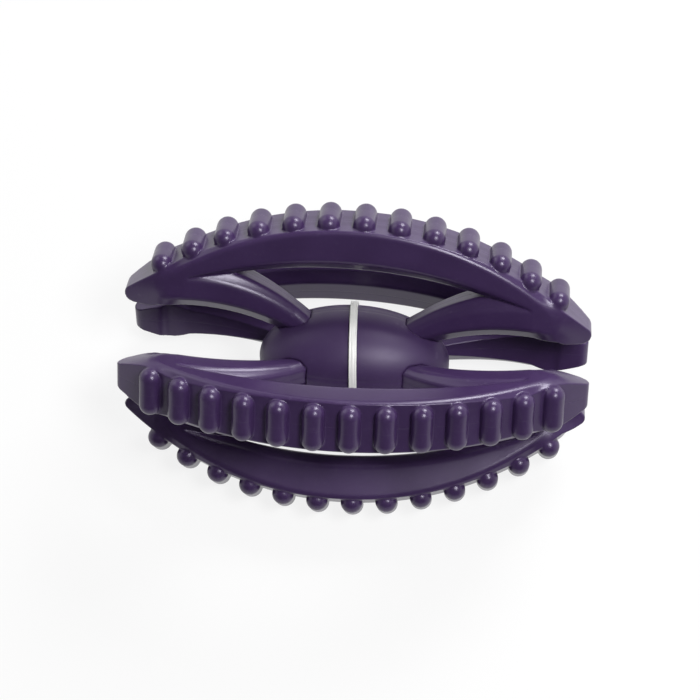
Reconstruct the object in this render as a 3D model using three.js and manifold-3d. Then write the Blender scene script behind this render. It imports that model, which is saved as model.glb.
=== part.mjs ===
import * as THREE from "three";
import { mergeVertices } from "three/addons/utils/BufferGeometryUtils.js";
import Module from "manifold-3d";

// Chew toy in the shape of a rugby ball: four bumpy rubber ribs caged round a solid core, with a
// nylon tie round the core's waist. Millimetres, X along the ball, +Z up, -Y the front. The ball
// lies on its two lower ribs. The origin is on the surface that it lies on, below the ball's middle.

// Whole ball
const BALL_LENGTH = 152.4; // tip to tip
const BALL_DIAMETER = 98.4; // twice the distance from the axis to a rib's outer face, without bumps
const RIB_ANGLE = 45; // degrees to a rib, from upright or from straight down
const RIB_LEAN = 2.2; // degrees; the tips at -X stand a little further apart than those at +X

// The lower ribs give way outward: a bend along their arms turns their bars out to the front and the rear
const SPLAY_ANGLE = 33; // degrees
const SPLAY_START = 14; // from the ball's axis, where the feet leave the core
const SPLAY_REACH = 9; // the bend is over this far on

// Rib: a bowed bar, with an arm at each end that runs back to the core. Its middle keeps one outline, and
// slopes lead from there to a flat panel on each side.
const RIB_WIDTH = 18.2;
const MIDDLE_WIDTH = 10.2; // between the slopes
const BAR_DEPTH = 10.4; // of the panel at mid-length
const OUTER_SLOPE = 0.5; // the panel's edge lies this far inside the outer face
const WINDOW_SLOPE = 4; // the window is smaller all round at the seam by this much
const WINDOW_CORNER = 0.3; // radius of the window's pointed ends
const ARM_HEIGHT = 23.7; // from the ball's axis to the arm's middle, at the window's end
const ARM_DEPTH = 7; // of the panel, at the window's end
const ARM_INSET = 19.7; // from the tip to the window's end, where the arm starts to bend inward
const UNDER_SLOPE = 4; // on the side of the core the arm is deeper at the seam by this much
const FOOT_DEPTH = 4.5; // of the panel, where the arm enters the core
const FOOT_WIDTH = 9.4; // of the arm at the same place
const FOOT_INSET = 11; // from the core's end to the middle of a foot, along the ball
const NOSE_HEIGHT = 6; // from the middle of the hollow below the arm to the middle of the round at the tip
const NOSE_RADIUS = 3;
const LIP_LENGTH = 5.3; // flat underside of the tip
const TIP_FACET_LENGTH = 12; // from the tip to the panel's end
const PANEL_END_RADIUS = 4;
const PANEL_END_SAG = 0.2; // the panel's end hangs this far below the arm's panel
const PANEL_LIP_LENGTH = 0.3;
const THROAT_RADIUS = 4; // hollow between tip and arm, on the side of the core

// Chewing bumps across the outer face of a rib
const BUMP_PITCH = 11.35; // along the outer face
const BUMP_RADIUS = 3.6;
const BUMP_MARGIN = 1; // from a bump's round end to the rib's side face
const BUMP_LIFT = 0.6; // a bump's middle line stands this far out of the outer face
const BUMP_WAIST = 0.15; // a bump is thinner by this much at the seam

// Core
const CORE_LENGTH = 62.6;
const CORE_DIAMETER = 35.2;
const SOCKET_DEPTH = 6.5; // how far a foot sinks into the core

// Cable tie
const TIE_WIDTH = 2.5;
const TIE_THICKNESS = 1.1;
const HEAD_WIDTH = 4.6;
const HEAD_LENGTH = 5.2; // along the strap
const HEAD_HEIGHT = 4;
const TAIL_LENGTH = 4; // cut end of the strap, clear of the head
const TAIL_LIFT = 0.3; // clear gap between the tail and the strap below it
const TIE_SKEW = 3; // degrees; the strap sits a little askew on the core

// Fits
const SEAM_GAP = 0.3; // bond line between the two halves of a rib
const CLEARANCE = 0.3; // round a foot in its socket, and under the tie
const FOOT_ROOM = 1; // free depth below a foot in its socket

// Facets of the round surfaces
const OUTER_STEPS = 10;
const INNER_STEPS = 6;
const NOSE_STEPS = 5;
const LIP_STEPS = 2;
const THROAT_STEPS = 3;
const ARM_STEPS = 4;
const CORNER_STEPS = 2;
const BUMP_SIDES = 10;
const BUMP_END_STEPS = 3;
const CORE_SIDES = 28;
const CORE_STEPS = 12;
const TIE_SIDES = 48;
const SPLAY_FACET = 5.4; // longest facet edge of a bent rib

const WELD = 1e-5;

const { clamp, degToRad, smoothstep } = THREE.MathUtils;
const UP = Math.PI / 2;
const DOWN = -UP;

// A rib is drawn in its own plane: x along the ball, y outward from the ball's axis.
const tip = BALL_LENGTH / 2;
const armStart = tip - ARM_INSET;
const sideFace = RIB_WIDTH / 2;
const middleEdge = MIDDLE_WIDTH / 2;
const footShare = FOOT_WIDTH / RIB_WIDTH;

// The arm's panel at the window's end, and the middle of the hollow between tip and arm.
const armTop = ARM_HEIGHT + ARM_DEPTH / 2;
const armBottom = ARM_HEIGHT - ARM_DEPTH / 2;
const throatMiddle = (section) => armBottom - section.under - THROAT_RADIUS;

// What differs between the outline at the seam and that of a panel: height of the crown, round and flat
// at the tip, how much smaller the window is, and how much deeper the arm is on the side of the core.
const seam = {
  crown: BALL_DIAMETER / 2,
  nose: new THREE.Vector2(tip - NOSE_RADIUS, throatMiddle({ under: UNDER_SLOPE }) + NOSE_HEIGHT),
  noseRadius: NOSE_RADIUS,
  lip: LIP_LENGTH,
  over: WINDOW_SLOPE,
  under: UNDER_SLOPE,
};
const panel = {
  crown: seam.crown - OUTER_SLOPE,
  nose: new THREE.Vector2(
    tip - TIP_FACET_LENGTH - PANEL_END_RADIUS,
    armBottom + PANEL_END_RADIUS - PANEL_END_SAG,
  ),
  noseRadius: PANEL_END_RADIUS,
  lip: PANEL_LIP_LENGTH,
  over: 0,
  under: 0,
};

// Arc that is level at the height `top` over the middle of the ball and just touches, from outside, a
// circle of radius `round` about `centre`.
function crownArc(top, centre, round) {
  const drop = top - centre.y;
  const radius = (centre.x ** 2 + drop ** 2 - round ** 2) / (2 * (drop - round));
  return { centre: new THREE.Vector2(0, top - radius), radius };
}

// The arm's edges leave the tip level and bend inward, each on one arc, to the foot on the core.
const footPlace = CORE_LENGTH / 2 - FOOT_INSET;
const footHeight = (CORE_DIAMETER / 2) * Math.sqrt(1 - (footPlace / (CORE_LENGTH / 2)) ** 2);
const armRun = armStart - footPlace;

function armArc(start, end) {
  const fall = start - end;
  const radius = (armRun ** 2 + fall ** 2) / (2 * fall);
  const centre = new THREE.Vector2(armStart, start - radius);
  return { centre, radius, end: UP + 2 * Math.atan2(fall, armRun) + SOCKET_DEPTH / radius };
}

const over = armArc(armTop, footHeight + FOOT_DEPTH / 2);
const under = armArc(armBottom, footHeight - FOOT_DEPTH / 2);

// Edge of the panel along the window, from the bar's middle to the window's end.
const inner = crownArc(panel.crown - BAR_DEPTH, new THREE.Vector2(armStart, armTop), 0);

const wasm = await Module();
wasm.setup();

function solidFrom(geometry) {
  const bare = geometry.clone();
  bare.deleteAttribute("normal");
  bare.deleteAttribute("uv");
  const welded = mergeVertices(bare, WELD);
  return new wasm.Manifold(
    new wasm.Mesh({
      numProp: 3,
      vertProperties: Float32Array.from(welded.attributes.position.array),
      triVerts: Uint32Array.from(welded.index.array),
    }),
  );
}

function geometryFrom(solid) {
  const { vertProperties, triVerts } = solid.getMesh();
  const geometry = new THREE.BufferGeometry();
  geometry.setAttribute("position", new THREE.BufferAttribute(vertProperties, 3));
  geometry.setIndex(new THREE.BufferAttribute(triVerts, 1));
  geometry.computeVertexNormals();
  return geometry;
}

const bearing = (from, to) => Math.atan2(to.y - from.y, to.x - from.x);

function arc(centre, radius, start, end, clockwise, steps) {
  return new THREE.EllipseCurve(centre.x, centre.y, radius, radius, start, end, clockwise).getPoints(steps);
}

// Height at `x` on the upper half of a circle, or of its middle beside the circle.
const heightOn = (centre, radius, x) => centre.y + Math.sqrt(Math.max(radius ** 2 - (x - centre.x) ** 2, 0));

// Where two circles cross, of the two places the one to the left on the way from the first to the second.
function crossing(first, firstRadius, second, secondRadius) {
  const way = second.clone().sub(first);
  const apart = way.length();
  const along = (apart ** 2 + firstRadius ** 2 - secondRadius ** 2) / (2 * apart);
  const aside = Math.sqrt(firstRadius ** 2 - along ** 2);
  way.divideScalar(apart);
  return new THREE.Vector2(
    first.x + along * way.x - aside * way.y,
    first.y + along * way.y + aside * way.x,
  );
}

// Outline of a rib at one of its sections, larger all round by `growth` and with its feet longer by `room`.
function ribOutline(section, growth, room) {
  const { nose, noseRadius } = section;
  const outer = crownArc(section.crown, nose, noseRadius);
  const shoulder = bearing(outer.centre, nose);
  const lip = new THREE.Vector2(nose.x - section.lip, nose.y);
  const throatHeight = throatMiddle(section);
  const throatToLip = Math.sqrt((THROAT_RADIUS + noseRadius) ** 2 - (nose.y - throatHeight) ** 2);
  const throat = new THREE.Vector2(lip.x - throatToLip, throatHeight);
  const chin = bearing(lip, throat);
  const longer = room / under.radius;
  const armOutside = over.radius + section.over + growth;
  const window = inner.radius - section.over - growth;
  const corner = crossing(inner.centre, window - WINDOW_CORNER, over.centre, armOutside + WINDOW_CORNER);
  const windowPoint = bearing(inner.centre, corner);
  const right = [
    ...arc(outer.centre, outer.radius + growth, UP, shoulder, true, OUTER_STEPS),
    ...arc(nose, noseRadius + growth, shoulder, DOWN, true, NOSE_STEPS).slice(1),
    ...arc(lip, noseRadius + growth, DOWN, chin, true, LIP_STEPS),
    ...arc(throat, THROAT_RADIUS - growth, chin + Math.PI, UP, false, THROAT_STEPS).slice(1),
    ...arc(under.centre, under.radius - section.under - growth, UP, under.end + longer, false, ARM_STEPS),
    ...arc(over.centre, armOutside, over.end + longer, bearing(over.centre, corner), true, ARM_STEPS),
    ...arc(corner, WINDOW_CORNER, bearing(corner, over.centre), windowPoint, false, CORNER_STEPS).slice(1),
    ...arc(inner.centre, window, windowPoint, UP, false, INNER_STEPS).slice(1),
  ];
  const left = right.slice(1, -1).map((point) => new THREE.Vector2(-point.x, point.y));
  return [...right, ...left.reverse()].reverse();
}

// Closed body through outlines with the same number of points, each at its own place across the rib.
function loft(sections) {
  const count = sections[0].outline.length;
  const positions = sections.flatMap(({ across, outline }) =>
    outline.flatMap((point) => [point.x, across, point.y]),
  );
  const faces = [];
  const top = count * (sections.length - 1);
  for (const [a, b, c] of THREE.ShapeUtils.triangulateShape(sections[0].outline, [])) {
    faces.push(a, b, c);
  }
  for (const [a, b, c] of THREE.ShapeUtils.triangulateShape(sections[sections.length - 1].outline, [])) {
    faces.push(top + a, top + c, top + b);
  }
  for (let row = 0; row < top; row += count) {
    for (let i = 0; i < count; i += 1) {
      const next = (i + 1) % count;
      faces.push(row + i, row + count + next, row + next);
      faces.push(row + i, row + count + i, row + count + next);
    }
  }
  const geometry = new THREE.BufferGeometry();
  geometry.setAttribute("position", new THREE.Float32BufferAttribute(positions, 3));
  geometry.setIndex(faces);
  return geometry;
}

// Share of the full width at a place on the rib. The arms narrow toward the core, the bar does not.
function widthShare(x, out) {
  const along = clamp((armStart - Math.abs(x)) / armRun, 0, 1);
  const armEdge = heightOn(over.centre, over.radius, Math.abs(x));
  const onArm = 1 - smoothstep(out, armEdge, heightOn(inner.centre, inner.radius, x));
  return 1 - along * onArm * (1 - footShare);
}

// Half a rib without its bumps, from the plane at `from` to its panel, larger all round by `growth` and
// with its feet longer by `room`.
function halfBar(from, growth, room) {
  const widened = growth / footShare;
  const body = loft([
    { across: from, outline: ribOutline(seam, growth, room) },
    { across: middleEdge + widened, outline: ribOutline(seam, growth, room) },
    { across: sideFace + widened, outline: ribOutline(panel, growth, room) },
  ]);
  return solidFrom(body).warp((place) => {
    place[1] *= widthShare(place[0], place[2]);
  });
}

function halfBump() {
  const roundEnd = sideFace - BUMP_MARGIN - BUMP_RADIUS;
  const end = arc(new THREE.Vector2(0, roundEnd), BUMP_RADIUS, 0, UP, false, BUMP_END_STEPS);
  end[end.length - 1].x = 0;
  const profile = [
    new THREE.Vector2(0, SEAM_GAP / 2),
    new THREE.Vector2(BUMP_RADIUS - BUMP_WAIST, SEAM_GAP / 2),
    ...end,
  ];
  return new THREE.LatheGeometry(profile, BUMP_SIDES);
}

// As many bumps as fit at their pitch between the tip facets, with one at mid-length.
function bumpPlaces() {
  const outer = crownArc(seam.crown, seam.nose, seam.noseRadius);
  const room = outer.radius * Math.asin((tip - TIP_FACET_LENGTH) / outer.radius);
  const each = Math.floor(room / BUMP_PITCH);
  const places = [];
  for (let i = -each; i <= each; i += 1) {
    const angle = (i * BUMP_PITCH) / outer.radius;
    const out = outer.radius + BUMP_LIFT;
    places.push([out * Math.sin(angle), outer.centre.y + out * Math.cos(angle)]);
  }
  return places;
}

function halfRib() {
  const bar = halfBar(0, 0, 0).trimByPlane([0, 1, 0], SEAM_GAP / 2);
  const bumps = bumpPlaces().map(([x, out]) => solidFrom(halfBump().translate(x, 0, out)));
  return wasm.Manifold.union([bar, ...bumps]);
}

// Turn of each rib about the ball's axis, from upright over the front, and the side to which it is bent.
// Each half of a rib faces one of the gaps between the ribs.
const RIBS = [
  { name: "upper_front", degrees: RIB_ANGLE, way: 0, leading: "top", trailing: "front" },
  { name: "lower_front", degrees: 180 - RIB_ANGLE, way: 1, leading: "front", trailing: "bottom" },
  { name: "lower_rear", degrees: 180 + RIB_ANGLE, way: -1, leading: "bottom", trailing: "rear" },
  { name: "upper_rear", degrees: 360 - RIB_ANGLE, way: 0, leading: "rear", trailing: "top" },
];

// Bends an upright rib to one side along its arms. Its feet stay and its bar is only turned.
function splay(solid, way) {
  const radius = SPLAY_REACH / degToRad(SPLAY_ANGLE);
  return solid.refineToLength(SPLAY_FACET).warp((place) => {
    const [, across, out] = place;
    const turn = clamp(out - SPLAY_START, 0, SPLAY_REACH) / radius;
    const past = Math.max(out - SPLAY_START - SPLAY_REACH, 0);
    const inside = radius - way * across;
    place[1] = way * (radius - inside * Math.cos(turn) + past * Math.sin(turn));
    place[2] = Math.min(out, SPLAY_START) + inside * Math.sin(turn) + past * Math.cos(turn);
  });
}

// Half a rib where it belongs in the ball: the leading half as drawn, the trailing half turned end for end.
function standing(solid, { degrees, way }, trailing) {
  const upright = solid.rotate([0, 0, trailing ? 180 : 0]).rotate([0, RIB_LEAN, 0]);
  return (way === 0 ? upright : splay(upright, way)).rotate([degrees, 0, 0]);
}

function core() {
  const half = new THREE.EllipseCurve(0, 0, CORE_DIAMETER / 2, CORE_LENGTH / 2, DOWN, UP).getPoints(CORE_STEPS);
  half[0].x = 0;
  half[half.length - 1].x = 0;
  const egg = new THREE.LatheGeometry(half, CORE_SIDES).rotateZ(UP);
  const foot = halfBar(-CLEARANCE, CLEARANCE, FOOT_ROOM);
  const sockets = RIBS.flatMap((rib) => [standing(foot, rib, false), standing(foot, rib, true)]);
  return geometryFrom(solidFrom(egg).subtract(wasm.Manifold.union(sockets)));
}

function cableTie() {
  const inside = CORE_DIAMETER / 2 + CLEARANCE;
  const outside = inside + TIE_THICKNESS;
  const edge = TIE_WIDTH / 2;
  const strip = [
    new THREE.Vector2(inside, -edge),
    new THREE.Vector2(outside, -edge),
    new THREE.Vector2(outside, edge),
    new THREE.Vector2(inside, edge),
    new THREE.Vector2(inside, -edge),
  ];
  const strap = new THREE.LatheGeometry(strip, TIE_SIDES).rotateZ(UP);
  const head = new THREE.BoxGeometry(HEAD_WIDTH, HEAD_LENGTH, HEAD_HEIGHT);
  head.translate(0, 0, -(inside + HEAD_HEIGHT / 2));
  const tail = new THREE.BoxGeometry(TIE_WIDTH, HEAD_LENGTH / 2 + TAIL_LENGTH, TIE_THICKNESS);
  tail.translate(0, (HEAD_LENGTH / 2 + TAIL_LENGTH) / 2, -(outside + TAIL_LIFT + TIE_THICKNESS / 2));
  return geometryFrom(wasm.Manifold.union([strap, head, tail].map(solidFrom)));
}

const rubber = () => new THREE.MeshStandardMaterial({ color: 0x44356e, roughness: 0.45, metalness: 0 });
const nylon = () => new THREE.MeshStandardMaterial({ color: 0xeeeeea, roughness: 0.5, metalness: 0 });

const ball = new THREE.Group();
ball.name = "rugby_ball_dog_toy";

function add(name, geometry, material) {
  const mesh = new THREE.Mesh(geometry, material);
  mesh.name = name;
  ball.add(mesh);
  return mesh;
}

const half = halfRib();
RIBS.forEach((rib) => {
  add(`${rib.name}_rib_${rib.leading}_half`, geometryFrom(standing(half, rib, false)), rubber());
  add(`${rib.name}_rib_${rib.trailing}_half`, geometryFrom(standing(half, rib, true)), rubber());
});
add("core", core(), rubber());
add("cable_tie", cableTie(), nylon()).rotation.z = degToRad(TIE_SKEW);

// The pieces are placed round the middle of the core, and the whole ball then stands on z = 0.
const extent = new THREE.Box3().setFromObject(ball, true);
const middle = extent.getCenter(new THREE.Vector3());
ball.position.set(-middle.x, -middle.y, -extent.min.z);

export default ball;
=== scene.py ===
"""Chew toy in the shape of a rugby ball: four bumpy rubber ribs round a core, with a nylon tie.

Shapes are worked out in millimetres as distances to each moulding's surface, negative inside, and
skinned into meshes in metres. X runs along the ball, +Z is up and the ball lies on z = 0.
"""

import math
from collections import namedtuple

import bpy
import numpy as np
from mathutils import Matrix, Vector


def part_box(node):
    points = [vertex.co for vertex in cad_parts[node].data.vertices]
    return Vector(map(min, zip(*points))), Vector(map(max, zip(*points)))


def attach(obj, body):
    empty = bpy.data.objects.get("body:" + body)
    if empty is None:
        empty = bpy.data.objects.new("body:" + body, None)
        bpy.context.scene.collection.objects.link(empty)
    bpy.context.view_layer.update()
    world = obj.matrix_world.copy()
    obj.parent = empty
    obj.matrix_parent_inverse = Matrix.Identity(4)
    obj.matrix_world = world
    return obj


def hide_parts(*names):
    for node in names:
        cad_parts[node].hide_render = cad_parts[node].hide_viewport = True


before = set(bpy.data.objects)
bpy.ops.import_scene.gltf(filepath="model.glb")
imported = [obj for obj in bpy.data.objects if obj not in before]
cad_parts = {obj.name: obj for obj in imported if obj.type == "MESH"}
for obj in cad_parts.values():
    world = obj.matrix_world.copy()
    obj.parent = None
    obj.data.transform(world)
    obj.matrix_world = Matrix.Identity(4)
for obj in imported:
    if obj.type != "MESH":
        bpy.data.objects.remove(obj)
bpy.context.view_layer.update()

MM = 0.001

# Ball and ribs, as the solids have them
BALL_LENGTH = 152.4
BALL_DIAMETER = 98.4
RIB_ANGLE = 45
RIB_LEAN = 2.2
SPLAY_ANGLE = math.radians(33)
SPLAY_START = 14
SPLAY_REACH = 9
RIB_WIDTH = 18.2
MIDDLE_WIDTH = 10.2
BAR_DEPTH = 10.4
OUTER_SLOPE = 0.5
WINDOW_CORNER = 0.3
ARM_HEIGHT = 23.7
ARM_DEPTH = 7
ARM_INSET = 19.7
UNDER_SLOPE = 4
FOOT_DEPTH = 4.5
FOOT_WIDTH = 9.4
FOOT_INSET = 11
NOSE_HEIGHT = 6
NOSE_RADIUS = 3
LIP_LENGTH = 5.3
TIP_WIDTH = 8.8
TIP_FACET_LENGTH = 12
PANEL_END_RADIUS = 4
PANEL_END_SAG = 0.2
PANEL_LIP_LENGTH = 0.3
THROAT_RADIUS = 4
MIDDLE_RISE = 0.7  # a rib's middle line stands this share of the way out to its crown
BUMPS = 13
BUMP_PITCH = 11.35
BUMP_RADIUS = 3.6
BUMP_MARGIN = 1
BUMP_LIFT = 0.6
CORE_LENGTH = 62.6
CORE_DIAMETER = 35.2
SOCKET_DEPTH = 6.5
FEET_REACH = 40  # the space between the feet is counted to the window this far down

# What the mould and the bond leave on the rubber
PANEL_EDGE = 0.8  # round along the edges of a panel
SLOPE_EDGE = 0.8  # round where a slope starts
BEVEL_WIDTH = 0.6  # of the bevel along the outer face
FACET_START = (56, 65)  # from mid-length; between these the bevels flatten out into the tip's facet
BUMP_FILLET = 0.4
BUMP_WAIST = 0.03  # a bump pinches in by this much at the seam
WAIST_REACH = 2
SEAM_GAP = 0.004
PARTING_DEPTH = 0.02  # fine groove along the seam
PARTING_WIDTH = 0.12
SOCKET_GAP = 0.06
SOCKET_LIP = 0.3
CORE_GROOVE_DEPTH = 0.1  # fine grooves along the core, in the planes of the ribs
CORE_GROOVE_WIDTH = 0.4
RIB_ROUGHNESS = 0.27
CORE_ROUGHNESS = 0.42
SHEEN_TINT = (0.9, 0.86, 1, 1)

# Cable tie
TIE_WIDTH = 2.5
TIE_THICKNESS = 1.1
TIE_CLEARANCE = 0.15
TIE_EDGE = 0.25
GROOVE_PLACE = 0.62
GROOVE_WIDTH = 0.16
GROOVE_DEPTH = 0.14
HEAD_WIDTH = 4.6
HEAD_LENGTH = 5.2
HEAD_HEIGHT = 4
HEAD_EDGE = 0.6
TAIL_LENGTH = 4
TAIL_LIFT = 0.45
SLOT_MARGIN = 0.35
SLOT_DEPTH = 0.9
TIE_SKEW = 3

# Size of the faces of each skin
RIB_STEP = 0.42
SEAM_ROWS = (-0.02, 0.02, 0.06, 0.12, 0.25, 0.45, 0.7)  # across the rib, close together at its seam
MIDDLE_START = 1.1
MIDDLE_STEP = 0.45
BUMP_END_START = 4.5  # from here on the bumps round off
BUMP_END_STEP = 0.26
RIB_FLOOR = 1  # the feet end further out than this
TIP_ROOM = 2
BUMP_ROOM = 7
CORE_STEP = 0.45
CORE_ROOM = 1
TIE_STEP = 0.2
SIDE_ROOM = 0.5
ARC_STEP = 0.8
TABLE_STEP = 0.25
TABLE_FLOOR = -2
TABLE_ROOM = (6, 8)  # beyond the tips and the crown

# Settling a skin onto its surface
SETTLE_ROUNDS = 2
SETTLE_LIMIT = 0.2
SLOPE_STEP = 0.02
LEAST_SLOPE = 0.25

core_low, core_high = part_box("core")
core_middle = (core_low + core_high) / 2

tip = BALL_LENGTH / 2
arm_start = tip - ARM_INSET
side_face = RIB_WIDTH / 2
slope_width = side_face - MIDDLE_WIDTH / 2
foot_share = FOOT_WIDTH / RIB_WIDTH
splay_radius = SPLAY_REACH / SPLAY_ANGLE

# What differs between a rib's outline at its seam and that of its panels
Section = namedtuple("Section", "crown nose nose_radius lip under")
arm_bottom = ARM_HEIGHT - ARM_DEPTH / 2
arm_top = ARM_HEIGHT + ARM_DEPTH / 2
panel_end = np.array([
    tip - TIP_FACET_LENGTH - PANEL_END_RADIUS,
    arm_bottom + PANEL_END_RADIUS - PANEL_END_SAG,
])
nose_height = arm_bottom - UNDER_SLOPE - THROAT_RADIUS + NOSE_HEIGHT
nose = np.array([tip - NOSE_RADIUS, nose_height])
seam = Section(BALL_DIAMETER / 2, nose, NOSE_RADIUS, LIP_LENGTH, UNDER_SLOPE)
panel = Section(seam.crown - OUTER_SLOPE, panel_end, PANEL_END_RADIUS, PANEL_LIP_LENGTH, 0)


def crown_arc(top, centre, rounding):
    """Centre and radius of an arc, level at `top` over mid-length, that touches a circle."""
    drop = top - centre[1]
    radius = (centre[0] ** 2 + drop ** 2 - rounding ** 2) / (2 * (drop - rounding))
    return np.array([0, top - radius]), radius


def bearing(start, end):
    return math.atan2(end[1] - start[1], end[0] - start[0])


def arc(centre, radius, start, end):
    steps = max(3, math.ceil(abs(end - start) * radius / ARC_STEP))
    angles = np.linspace(start, end, steps + 1)
    return np.column_stack([centre[0] + radius * np.cos(angles), centre[1] + radius * np.sin(angles)])


outer_centre, outer_radius = crown_arc(seam.crown, nose, NOSE_RADIUS)
inner_centre, inner_radius = crown_arc(panel.crown - BAR_DEPTH, (arm_start, arm_top), 0)
foot_place = CORE_LENGTH / 2 - FOOT_INSET
foot_height = CORE_DIAMETER / 2 * math.sqrt(1 - (foot_place / (CORE_LENGTH / 2)) ** 2)
arm_run = arm_start - foot_place


def arm_arc(start, end):
    """Arc of an arm's edge, level at the window's end: its centre, its radius and where the foot ends."""
    fall = start - end
    radius = (arm_run ** 2 + fall ** 2) / (2 * fall)
    foot_end = math.pi / 2 + 2 * math.atan2(fall, arm_run) + SOCKET_DEPTH / radius
    return np.array([arm_start, start - radius]), radius, foot_end


over_centre, over_radius, over_end = arm_arc(arm_top, foot_height + FOOT_DEPTH / 2)
under_centre, under_radius, under_end = arm_arc(arm_bottom, foot_height - FOOT_DEPTH / 2)


def crossing(first, first_radius, second, second_radius):
    """Where two circles cross, to the left on the way from the first to the second."""
    apart = math.hypot(*(second - first))
    way = (second - first) / apart
    along = (apart ** 2 + first_radius ** 2 - second_radius ** 2) / (2 * apart)
    aside = math.sqrt(first_radius ** 2 - along ** 2)
    return first + along * way + aside * np.array([-way[1], way[0]])


def mirrored(right):
    """Closes an outline that is the same to both ends of the ball."""
    return np.concatenate([right, right[::-1] * [-1, 1]])


def rib_outline(section):
    """Outline of a rib in its own plane, along the ball and outward from its axis, window filled in."""
    up = math.pi / 2
    crown_centre, crown_radius = crown_arc(section.crown, section.nose, section.nose_radius)
    lip = section.nose - np.array([section.lip, 0])
    throat_height = arm_bottom - section.under - THROAT_RADIUS
    reach = math.sqrt((THROAT_RADIUS + section.nose_radius) ** 2 - (lip[1] - throat_height) ** 2)
    throat = np.array([lip[0] - reach, throat_height])
    shoulder = bearing(crown_centre, section.nose)
    chin = bearing(lip, throat)
    return mirrored(np.concatenate([
        arc(crown_centre, crown_radius, up, shoulder)[1:],
        arc(section.nose, section.nose_radius, shoulder, -up)[1:],
        arc(lip, section.nose_radius, -up, chin),
        arc(throat, THROAT_RADIUS, chin + math.pi, up)[1:],
        arc(under_centre, under_radius - section.under, up, under_end),
    ]))


def window_outline():
    """Outline of the window in a panel, with the space between the feet."""
    corner = crossing(inner_centre, inner_radius - WINDOW_CORNER, over_centre, over_radius + WINDOW_CORNER)
    window_point = bearing(inner_centre, corner)
    arm = arc(over_centre, over_radius, over_end, bearing(over_centre, corner))
    return mirrored(np.concatenate([
        [arm[0] - np.array([0, FEET_REACH])],
        arm,
        arc(corner, WINDOW_CORNER, bearing(corner, over_centre), window_point)[1:],
        arc(inner_centre, inner_radius, window_point, math.pi / 2)[1:-1],
    ]))


def outline_table(outline, along, outward):
    """Distance to the outline at each point of a table, negative inside."""
    points = np.stack(np.meshgrid(along, outward, indexing="ij"), -1)
    nearest = np.full(points.shape[:2], np.inf)
    inside = np.zeros(points.shape[:2], bool)
    for start, end in zip(outline, np.roll(outline, -1, 0)):
        edge = end - start
        offset = points - start
        share = np.clip(offset @ edge / max(edge @ edge, 1e-12), 0, 1)
        nearest = np.minimum(nearest, ((offset - share[..., None] * edge) ** 2).sum(-1))
        spans = (start[1] > points[..., 1]) != (end[1] > points[..., 1])
        rise = edge[1] if edge[1] else 1.0
        inside ^= spans & (offset[..., 0] < edge[0] * offset[..., 1] / rise)
    return np.sqrt(nearest) * np.where(inside, -1, 1)


table_along = np.arange(0, tip + TABLE_ROOM[0], TABLE_STEP)
table_outward = np.arange(TABLE_FLOOR, seam.crown + TABLE_ROOM[1], TABLE_STEP)
seam_table = outline_table(rib_outline(seam), table_along, table_outward)
panel_table = outline_table(rib_outline(panel), table_along, table_outward)
window_table = outline_table(window_outline(), table_along, table_outward)


def from_table(table, along, outward):
    """The table's distance between its points."""
    i = np.clip(along / TABLE_STEP, 0, len(table_along) - 1.001)
    j = np.clip((outward - table_outward[0]) / TABLE_STEP, 0, len(table_outward) - 1.001)
    i, j = np.broadcast_arrays(i, j)
    row, column = i.astype(int), j.astype(int)
    a, b = i - row, j - column
    low = table[row, column] * (1 - b) + table[row, column + 1] * b
    high = table[row + 1, column] * (1 - b) + table[row + 1, column + 1] * b
    return low * (1 - a) + high * a


def smooth_step(value, low, high):
    share = np.clip((value - low) / (high - low), 0, 1)
    return share * share * (3 - 2 * share)


def trimmed(solid, cutter, rounding):
    """What both solids share, with a round of that radius along the new edge."""
    a, b = solid + rounding, cutter + rounding
    return np.hypot(np.maximum(a, 0), np.maximum(b, 0)) + np.minimum(np.maximum(a, b), 0) - rounding


def melted(a, b, fillet):
    """Two solids joined, with a fillet between them."""
    gap = np.maximum(fillet - np.abs(a - b), 0) / fillet
    return np.minimum(a, b) - gap * gap * fillet / 4


def width_share(reach, outward):
    """Share of the full width at a place on the rib: the arms narrow toward the core."""
    along = np.clip((arm_start - reach) / arm_run, 0, 1)
    over_bend = over_radius ** 2 - (reach - over_centre[0]) ** 2
    arm_edge = over_centre[1] + np.sqrt(np.maximum(over_bend, 0))
    bar_edge = inner_centre[1] + np.sqrt(inner_radius ** 2 - reach ** 2)
    on_arm = 1 - smooth_step(outward, arm_edge, np.maximum(bar_edge, arm_edge + 0.1))
    return 1 - along * on_arm * (1 - foot_share)


def whole_rib(along, across, outward):
    """A rib's bar, tips and arms, without its bumps and its seam."""
    reach, side = np.abs(along), np.abs(across)
    share = width_share(reach, outward)
    past_panel = from_table(panel_table, reach, outward)
    on_crown = outward - nose_height > (seam.crown - nose_height) * (1 - (reach / tip) ** 2) * MIDDLE_RISE
    bevel_steepness = np.where(on_crown, BEVEL_WIDTH / OUTER_SLOPE, slope_width / UNDER_SLOPE)
    facet_steepness = (RIB_WIDTH - TIP_WIDTH) / 2 / TIP_FACET_LENGTH
    steepness = bevel_steepness + (facet_steepness - bevel_steepness) * smooth_step(reach, *FACET_START)
    sloped = (side - side_face * share + past_panel * steepness) / np.hypot(1, steepness)
    depth = np.maximum(side_face * share - side, 0)
    window = from_table(window_table, reach, outward) + melted(depth, slope_width * share, SLOPE_EDGE)
    body = np.maximum(from_table(seam_table, reach, outward), sloped)
    body = np.maximum(body, -window / math.sqrt(2))
    return trimmed(body, side - side_face * share, PANEL_EDGE)


def bump_places():
    angles = np.arange(BUMPS // 2 + 1) * BUMP_PITCH / outer_radius
    out = outer_radius + BUMP_LIFT
    return zip(out * np.sin(angles), outer_centre[1] + out * np.cos(angles))


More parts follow.
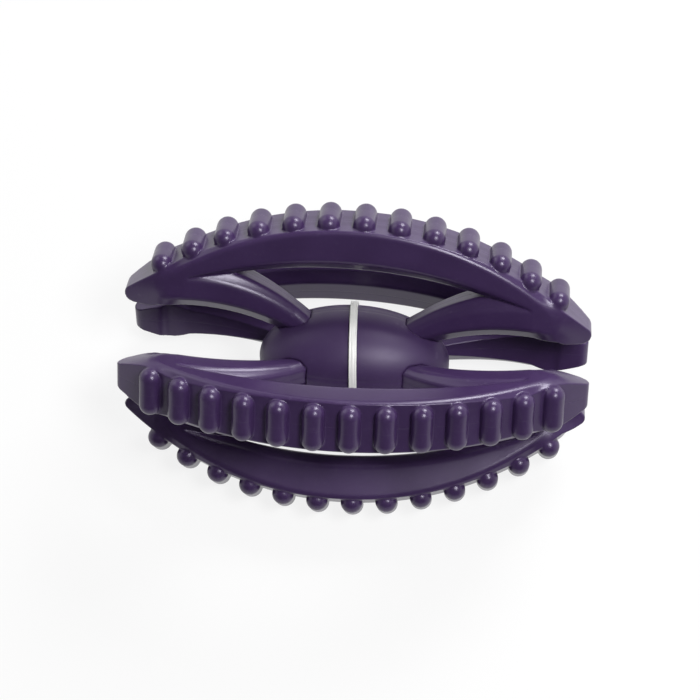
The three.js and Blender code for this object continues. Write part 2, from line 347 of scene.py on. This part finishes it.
def bumpy_rib(along, across, outward):
    """A rib with its bumps and a fine parting groove between them."""
    reach = np.abs(along)
    round_end = side_face - BUMP_MARGIN - BUMP_RADIUS
    beyond = np.maximum(np.abs(across) - round_end, 0)
    radius = BUMP_RADIUS - BUMP_WAIST * np.exp(-(across / WAIST_REACH) ** 2)
    bumps = np.inf
    for place, height in bump_places():
        off_axis = (reach - place) ** 2 + (outward - height) ** 2
        bumps = np.minimum(bumps, np.sqrt(off_axis + beyond ** 2) - radius)
    groove = PARTING_DEPTH * np.exp(-(across / PARTING_WIDTH) ** 2)
    return melted(whole_rib(along, across, outward) + groove, bumps, BUMP_FILLET)


# Each rib's turn about the ball's axis, the side to which it is bent, and where its halves face
RIBS = [
    ("upper_front", RIB_ANGLE, 0, "top", "front"),
    ("lower_front", 180 - RIB_ANGLE, 1, "front", "bottom"),
    ("lower_rear", 180 + RIB_ANGLE, -1, "bottom", "rear"),
    ("upper_rear", 360 - RIB_ANGLE, 0, "rear", "top"),
]


def turned(points, degrees, axis):
    return np.array(Matrix.Rotation(math.radians(degrees), 3, axis)) @ points


def splayed(points, way):
    """Bends an upright rib to one side along its arms: its feet stay and its bar is only turned."""
    along, across, outward = points
    turn = np.clip(outward - SPLAY_START, 0, SPLAY_REACH) / splay_radius
    past = np.maximum(outward - SPLAY_START - SPLAY_REACH, 0)
    inside = splay_radius - way * across
    aside = splay_radius - inside * np.cos(turn) + past * np.sin(turn)
    out = np.minimum(outward, SPLAY_START) + inside * np.sin(turn) + past * np.cos(turn)
    return np.stack([along, way * aside, out])


def straightened(points, way):
    """Where the points of a bent rib lie before it is bent, up to the end of the bend."""
    along, across, outward = points
    ahead = np.maximum(outward - SPLAY_START, 0)
    aside = splay_radius - way * across
    out = np.minimum(outward, SPLAY_START) + splay_radius * np.arctan2(ahead, aside)
    return np.stack([along, way * (splay_radius - np.hypot(ahead, aside)), out])


def standing(points, degrees, way):
    """Takes the points of a rib from its own frame to its place round the core."""
    upright = turned(points, RIB_LEAN, "Y")
    return turned(splayed(upright, way) if way else upright, degrees, "X")


def in_rib(points, degrees, way):
    """Takes points near the core into a rib's own frame."""
    upright = turned(points, -degrees, "X")
    return turned(straightened(upright, way) if way else upright, -RIB_LEAN, "Y")


def egg(x, y, z):
    """The core: an ellipsoid with a socket for each foot and fine parting lines between them."""
    half_length, half_width = CORE_LENGTH / 2, CORE_DIAMETER / 2
    stretch = np.sqrt((x / half_length) ** 2 + (y ** 2 + z ** 2) / half_width ** 2)
    slope = np.sqrt((x / half_length ** 2) ** 2 + (y ** 2 + z ** 2) / half_width ** 4)
    body = stretch * (stretch - 1) / np.maximum(slope, 1e-6)
    near = np.nonzero(np.abs(body) < SOCKET_DEPTH * 2)
    points = np.stack([np.broadcast_to(c, body.shape)[near] for c in (x, y, z)])
    skin = body[near]
    feet = np.full(skin.shape, np.inf)
    for _, degrees, way, _, _ in RIBS:
        along, across, outward = in_rib(points, degrees, way)
        feet = np.minimum(feet, whole_rib(along, across, outward))
        groove = CORE_GROOVE_DEPTH * np.exp(-(across / CORE_GROOVE_WIDTH) ** 2)
        skin = skin + np.where(outward > 0, groove, 0)
    body[near] = trimmed(skin, SOCKET_GAP - feet, SOCKET_LIP)
    return body


def brick(x, y, z, size, rounding):
    """A box about the origin with rounded edges."""
    over = [np.abs(c) - length / 2 + rounding for c, length in zip((x, y, z), size)]
    outside = np.sqrt(sum(np.maximum(c, 0) ** 2 for c in over))
    return outside + np.minimum(np.maximum(np.maximum(over[0], over[1]), over[2]), 0) - rounding


def tie(x, y, z):
    """Strap round the core with lengthwise grooves, its locking head below and the cut tail."""
    inside = CORE_DIAMETER / 2 + TIE_CLEARANCE
    middle = inside + TIE_THICKNESS / 2
    off_strap = np.hypot(y, z) - middle
    strap = brick(x, off_strap, 0 * x, (TIE_WIDTH, TIE_THICKNESS, TIE_WIDTH), TIE_EDGE)
    groove = GROOVE_DEPTH * np.exp(-((np.abs(x) - GROOVE_PLACE) / GROOVE_WIDTH) ** 2)
    strap = strap + np.where(off_strap > 0, groove, 0)
    tail_drop = middle + TIE_THICKNESS + TAIL_LIFT
    tail_size = HEAD_LENGTH / 2 + TAIL_LENGTH
    tail = brick(x, y - tail_size / 2, z + tail_drop, (TIE_WIDTH, tail_size, TIE_THICKNESS), TIE_EDGE)
    head = brick(x, y, z + inside + HEAD_HEIGHT / 2, (HEAD_WIDTH, HEAD_LENGTH, HEAD_HEIGHT), HEAD_EDGE)
    slot_width = TIE_WIDTH + 2 * SLOT_MARGIN
    slot_height = TIE_THICKNESS + 2 * SLOT_MARGIN
    from_face = np.abs(y) - HEAD_LENGTH / 2
    slot = brick(x, from_face, z + tail_drop, (slot_width, 2 * SLOT_DEPTH, slot_height), TIE_EDGE)
    head = trimmed(head, -slot, TIE_EDGE)
    return np.minimum(melted(strap, head, TIE_EDGE), tail)


def skinned(distances, axes):
    """Closed skin where the distance is zero: a point in each cell that it crosses, and its faces."""
    inside = distances < 0
    cells = np.array(distances.shape) - 1
    total = np.zeros((cells.prod(), 3))
    count = np.zeros(cells.prod())
    quads = []
    for k in range(3):
        step, a, b = np.eye(3, dtype=int)[[k, (k + 1) % 3, (k + 2) % 3]]
        starts = np.argwhere(np.diff(inside, axis=k))
        near, far = distances[tuple(starts.T)], distances[tuple((starts + step).T)]
        points = np.column_stack([axis[i] for axis, i in zip(axes, starts.T)])
        ahead = axes[k][starts[:, k] + 1] - axes[k][starts[:, k]]
        points[:, k] += ahead * near / (near - far)
        ring = [np.ravel_multi_index((starts - shift).T, cells) for shift in (0 * a, a, a + b, b)]
        for cell in ring:
            np.add.at(total, cell, points)
            np.add.at(count, cell, 1)
        ring = np.column_stack(ring)
        quads.append(np.where((near < 0)[:, None], ring, ring[:, ::-1]))
    used = np.flatnonzero(count)
    place = np.zeros(len(count), int)
    place[used] = np.arange(len(used))
    return (total[used] / count[used, None]).T, place[np.concatenate(quads)]


def lattice(*axes):
    return np.meshgrid(*axes, indexing="ij", sparse=True)


def settled(points, distance):
    """Moves the points of a skin onto the surface itself, down the slope of the distance."""
    here = distance(*points)
    nudges = np.eye(3)[:, :, None] * SLOPE_STEP
    slope = np.stack([distance(*(points + nudge)) - here for nudge in nudges]) / SLOPE_STEP
    move = here * slope / np.maximum((slope ** 2).sum(0), LEAST_SLOPE)
    return points - np.clip(move, -SETTLE_LIMIT, SETTLE_LIMIT)


def rib_skin():
    """Skin of half a rib, and which of its faces lie on the seam."""
    along = np.arange(-tip - TIP_ROOM, tip + TIP_ROOM, RIB_STEP)
    across = np.concatenate([
        SEAM_ROWS,
        np.arange(MIDDLE_START, BUMP_END_START, MIDDLE_STEP),
        np.arange(BUMP_END_START, side_face + SIDE_ROOM, BUMP_END_STEP),
    ])
    outward = np.arange(RIB_FLOOR, seam.crown + BUMP_ROOM, RIB_STEP)
    places = lattice(along, across, outward)
    half_rib = np.maximum(bumpy_rib(*places), SEAM_GAP / 2 - places[1])
    points, faces = skinned(half_rib, (along, across, outward))
    on_seam = points[1] < across[1]
    lid = on_seam[faces].all(1)
    points[1, on_seam] = SEAM_GAP / 2
    outside = np.zeros(len(on_seam), bool)
    outside[faces[~lid]] = True
    for _ in range(SETTLE_ROUNDS):
        points[:, outside] = settled(points[:, outside], bumpy_rib)
    return points, faces, np.flatnonzero(lid)


def core_skin():
    half_length, half_width = CORE_LENGTH / 2 + CORE_ROOM, CORE_DIAMETER / 2 + CORE_ROOM
    along = np.arange(-half_length, half_length, CORE_STEP)
    over = np.arange(-half_width, half_width, CORE_STEP)
    return skinned(egg(*lattice(along, over, over)), (along, over, over))


def tie_skin():
    strap_reach = CORE_DIAMETER / 2 + TIE_CLEARANCE + TIE_THICKNESS + SIDE_ROOM
    head_reach = HEAD_WIDTH / 2 + SIDE_ROOM
    across = np.arange(-head_reach, head_reach, TIE_STEP)
    along = np.arange(-strap_reach, strap_reach, TIE_STEP)
    upward = np.arange(-strap_reach - HEAD_HEIGHT, strap_reach, TIE_STEP)
    return skinned(tie(*lattice(across, along, upward)), (across, along, upward))


def placed(points, faces, node, body, slot, finish, flat=()):
    """Makes a piece from points round the middle of the core, in place of its solid."""
    mesh = bpy.data.meshes.new(node)
    mesh.from_pydata((points.T * MM + np.array(core_middle)).tolist(), [], faces.tolist())
    mesh.shade_smooth()
    for face in flat:
        mesh.polygons[face].use_smooth = False
    mesh.materials.append(finish)
    piece = bpy.data.objects.new(f"{node}_moulding", mesh)
    bpy.context.scene.collection.objects.link(piece)
    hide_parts(node)
    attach(piece, body)


class Socket:
    """A socket of a material's nodes. Arithmetic on it adds Math nodes."""

    def __init__(self, tree, socket=None):
        self.tree = tree
        self.socket = socket

    def node(self, kind, settings=None, sockets=None, output=0):
        """Adds a node: its settings first, then the values or links of its sockets."""
        made = self.tree.nodes.new(kind)
        for key, value in (settings or {}).items():
            if key == "stops":
                ramp = made.color_ramp.elements
                while len(ramp) < len(value):
                    ramp.new(1)
                for stop, (position, colour) in zip(ramp, value):
                    stop.position = position
                    stop.color = (*colour, 1)
            else:
                setattr(made, key, value)
        for key, value in (sockets or {}).items():
            if isinstance(value, Socket):
                self.tree.links.new(value.socket, made.inputs[key])
            else:
                made.inputs[key].default_value = value
        return Socket(self.tree, made.outputs[output])

    def maths(self, operation, first, second):
        return self.node("ShaderNodeMath", {"operation": operation}, {0: first, 1: second})

    def __add__(self, other):
        return self.maths("ADD", self, other)

    def __sub__(self, other):
        return self.maths("SUBTRACT", self, other)

    def __rsub__(self, other):
        return self.maths("SUBTRACT", other, self)

    def __mul__(self, other):
        return self.maths("MULTIPLY", self, other)

    __radd__ = __add__
    __rmul__ = __mul__

    def between(self, low, high):
        """0 below low, 1 above high and smooth in between."""
        sockets = {"Value": self, "From Min": low, "From Max": high}
        return self.node("ShaderNodeMapRange", {"interpolation_type": "SMOOTHSTEP"}, sockets)

    def noise(self, scale, detail=2.0, roughness=0.5):
        sockets = {"Vector": self, "Scale": scale, "Detail": detail, "Roughness": roughness}
        return self.node("ShaderNodeTexNoise", None, sockets)

    def mixed(self, low, high):
        """The first colour where this value is 0, the second where it is 1."""
        sockets = {"Factor": self, 6: low, 7: high}
        return self.node("ShaderNodeMix", {"data_type": "RGBA"}, sockets, 2)


def new_finish(name):
    """An empty material, its shader and the start of its nodes."""
    material = bpy.data.materials.new(name)
    material.use_nodes = True
    shader = material.node_tree.nodes["Principled BSDF"]
    return material, shader, Socket(material.node_tree)


def feed(shader, **sockets):
    """Sets or links the shader's sockets, named with _ for a space."""
    for key, value in sockets.items():
        target = shader.inputs[key.replace("_", " ")]
        if isinstance(value, Socket):
            value.tree.links.new(value.socket, target)
        else:
            target.default_value = value


def purple_rubber(name, roughness):
    """Satin moulded rubber: cloudy purple, a fine skin, paler rubbed edges and faint dust."""
    material, shader, start = new_finish(name)
    place = start.node("ShaderNodeTexCoord", None, None, "Object")
    clouds = place.noise(60.0, 3.0).between(0.1, 0.9)
    grain = place.noise(1400.0, 2.0)
    dust = place.noise(800.0, 3.0, 0.6).between(0.5, 0.8)
    edge = start.node("ShaderNodeNewGeometry", None, None, "Pointiness").between(0.52, 0.6)
    deep = (0.037, 0.018, 0.066, 1)
    lit = (0.051, 0.026, 0.09, 1)
    rubbed = (0.11, 0.08, 0.16, 1)
    colour = clouds.mixed(deep, lit)
    colour = (edge * (0.1 + 0.2 * grain)).mixed(colour, rubbed)
    colour = (dust * 0.05).mixed(colour, (0.16, 0.14, 0.2, 1))
    skin = place.noise(2600.0, 2.0) * 0.6 + place.noise(700.0, 1.0) * 0.4
    bump = start.node("ShaderNodeBump", None, {"Strength": 0.06, "Distance": 0.0002, "Height": skin})
    feed(shader, Base_Color=colour, Roughness=roughness + 0.05 * clouds + 0.08 * dust, Normal=bump)
    feed(shader, Specular_Tint=SHEEN_TINT)
    return material


def white_nylon():
    """Bright nylon, a little uneven, with the fine lengthwise marks of its mould."""
    material, shader, start = new_finish("white_nylon")
    place = start.node("ShaderNodeTexCoord", None, None, "Object")
    stretch = {0: place, 1: (9.0, 1.0, 1.0)}
    stretched = start.node("ShaderNodeVectorMath", {"operation": "MULTIPLY"}, stretch)
    streaks = stretched.noise(260.0, 2.0)
    haze = place.noise(180.0, 3.0).between(0.35, 0.75)
    colour = (haze * 0.5).mixed((0.8, 0.8, 0.78, 1), (0.7, 0.7, 0.69, 1))
    bump = start.node("ShaderNodeBump", None, {"Strength": 0.2, "Distance": 0.0001, "Height": streaks})
    feed(shader, Base_Color=colour, Roughness=0.34 + 0.14 * streaks, Normal=bump)
    return material


rubber = purple_rubber("purple_rubber", RIB_ROUGHNESS)
rib_points, rib_faces, seam_faces = rib_skin()
for rib_name, degrees, way, leading, trailing in RIBS:
    for half, flip in ((leading, 0), (trailing, 180)):
        points = standing(turned(rib_points, flip, "Z"), degrees, way)
        placed(points, rib_faces, f"{rib_name}_rib_{half}_half", "ball", "rubber", rubber, seam_faces)
placed(*core_skin(), "core", "ball", "rubber", purple_rubber("core_rubber", CORE_ROUGHNESS))
tie_points, tie_faces = tie_skin()
placed(turned(tie_points, TIE_SKEW, "Z"), tie_faces, "cable_tie", "tie", "nylon", white_nylon())

# Camera: where the photograph was taken from
VIEW_DISTANCE = 0.9
VIEW_ELEVATION = 71.7
VIEW_YAW = 2.85
VIEW_ROLL = 3.48
FRAME_WIDTH_MM = 230.4  # of the object's middle plane
SENSOR_MM = 36
IMAGE_PIXELS = 700
MIDDLE_PIXEL = (354.4, 358.3)  # where the middle of the core shows

# Studio
FLOOR_REACH = 4.0
FLOOR_GLOW = 0.85
FILL = 0.1
LAMP_DISTANCE = 0.9


def add_camera():
    elevation = math.radians(VIEW_ELEVATION)
    yaw = math.radians(VIEW_YAW)
    roll = math.radians(VIEW_ROLL)
    up = Vector((0, math.sin(elevation), math.cos(elevation)))
    level_back = Vector((0, -math.cos(elevation), math.sin(elevation)))
    back = math.sin(yaw) * Vector((1, 0, 0)) + math.cos(yaw) * level_back
    right = up.cross(back)
    camera_right = math.cos(roll) * right + math.sin(roll) * up
    camera_up = math.cos(roll) * up - math.sin(roll) * right
    data = bpy.data.cameras.new("camera")
    data.sensor_width = SENSOR_MM
    data.lens = SENSOR_MM * VIEW_DISTANCE / (FRAME_WIDTH_MM * MM)
    data.shift_x = (IMAGE_PIXELS / 2 - MIDDLE_PIXEL[0]) / IMAGE_PIXELS
    data.shift_y = (MIDDLE_PIXEL[1] - IMAGE_PIXELS / 2) / IMAGE_PIXELS
    camera = bpy.data.objects.new("camera", data)
    turn = Matrix((camera_right, camera_up, back)).transposed()
    camera.matrix_world = Matrix.Translation(core_middle + VIEW_DISTANCE * back) @ turn.to_4x4()
    bpy.context.scene.collection.objects.link(camera)
    bpy.context.scene.camera = camera


def add_light(name, direction, size, watts):
    """A soft square lamp that faces the ball."""
    data = bpy.data.lights.new(name, "AREA")
    data.size = size
    data.energy = watts
    lamp = bpy.data.objects.new(name, data)
    towards = Vector(direction).normalized()
    lamp.location = core_middle + towards * LAMP_DISTANCE
    lamp.rotation_mode = "QUATERNION"
    lamp.rotation_quaternion = (-towards).to_track_quat("-Z", "Y")
    bpy.context.scene.collection.objects.link(lamp)


def ray(start, kind):
    """1 for light that reaches the eye this way, 0 for the rest."""
    return start.node("ShaderNodeLightPath", None, None, f"Is {kind} Ray")


def reflected(start):
    return ray(start, "Glossy") + ray(start, "Transmission")


def add_floor():
    """A white floor that keeps a soft shadow."""
    mesh = bpy.data.meshes.new("floor")
    corners = [(-FLOOR_REACH, -FLOOR_REACH, 0), (FLOOR_REACH, -FLOOR_REACH, 0),
               (FLOOR_REACH, FLOOR_REACH, 0), (-FLOOR_REACH, FLOOR_REACH, 0)]
    mesh.from_pydata(corners, [], [(0, 1, 2, 3)])
    material, shader, start = new_finish("pale_floor")
    feed(shader, Base_Color=(0.82, 0.82, 0.82, 1), Roughness=0.8)
    paper = start.node("ShaderNodeEmission")
    lit = Socket(start.tree, shader.outputs[0])
    seen = ray(start, "Camera") + reflected(start)
    shown = start.node("ShaderNodeMixShader", None, {0: FLOOR_GLOW * seen, 1: lit, 2: paper})
    feed(material.node_tree.nodes["Material Output"], Surface=shown)
    mesh.materials.append(material)
    floor = bpy.data.objects.new("floor", mesh)
    bpy.context.scene.collection.objects.link(floor)


def add_world():
    """White to the eye. Reflections show white walls, and a dim ceiling and front side."""
    world = bpy.data.worlds.new("studio")
    world.use_nodes = True
    start = Socket(world.node_tree)
    direction = start.node("ShaderNodeTexCoord", None, None, "Generated")
    upward = start.node("ShaderNodeSeparateXYZ", None, {0: direction}, "Z")
    rearward = start.node("ShaderNodeSeparateXYZ", None, {0: direction}, "Y")
    walls = (1 - upward.between(0.3, 0.7)) * rearward.between(-0.75, 0.0)
    strength = FILL + (1 - FILL) * (ray(start, "Camera") + walls * reflected(start))
    feed(world.node_tree.nodes["Background"], Color=(1, 1, 1, 1), Strength=strength)
    bpy.context.scene.world = world


add_camera()
add_floor()
add_world()
add_light("key", (0.36, -0.13, 0.92), 0.27, 6)
add_light("softbox", (0.36, 0.72, 0.58), 0.34, 7)
add_light("window", (-0.64, 0.54, 0.55), 0.5, 1.2)
bpy.context.scene.view_settings.view_transform = "Standard"
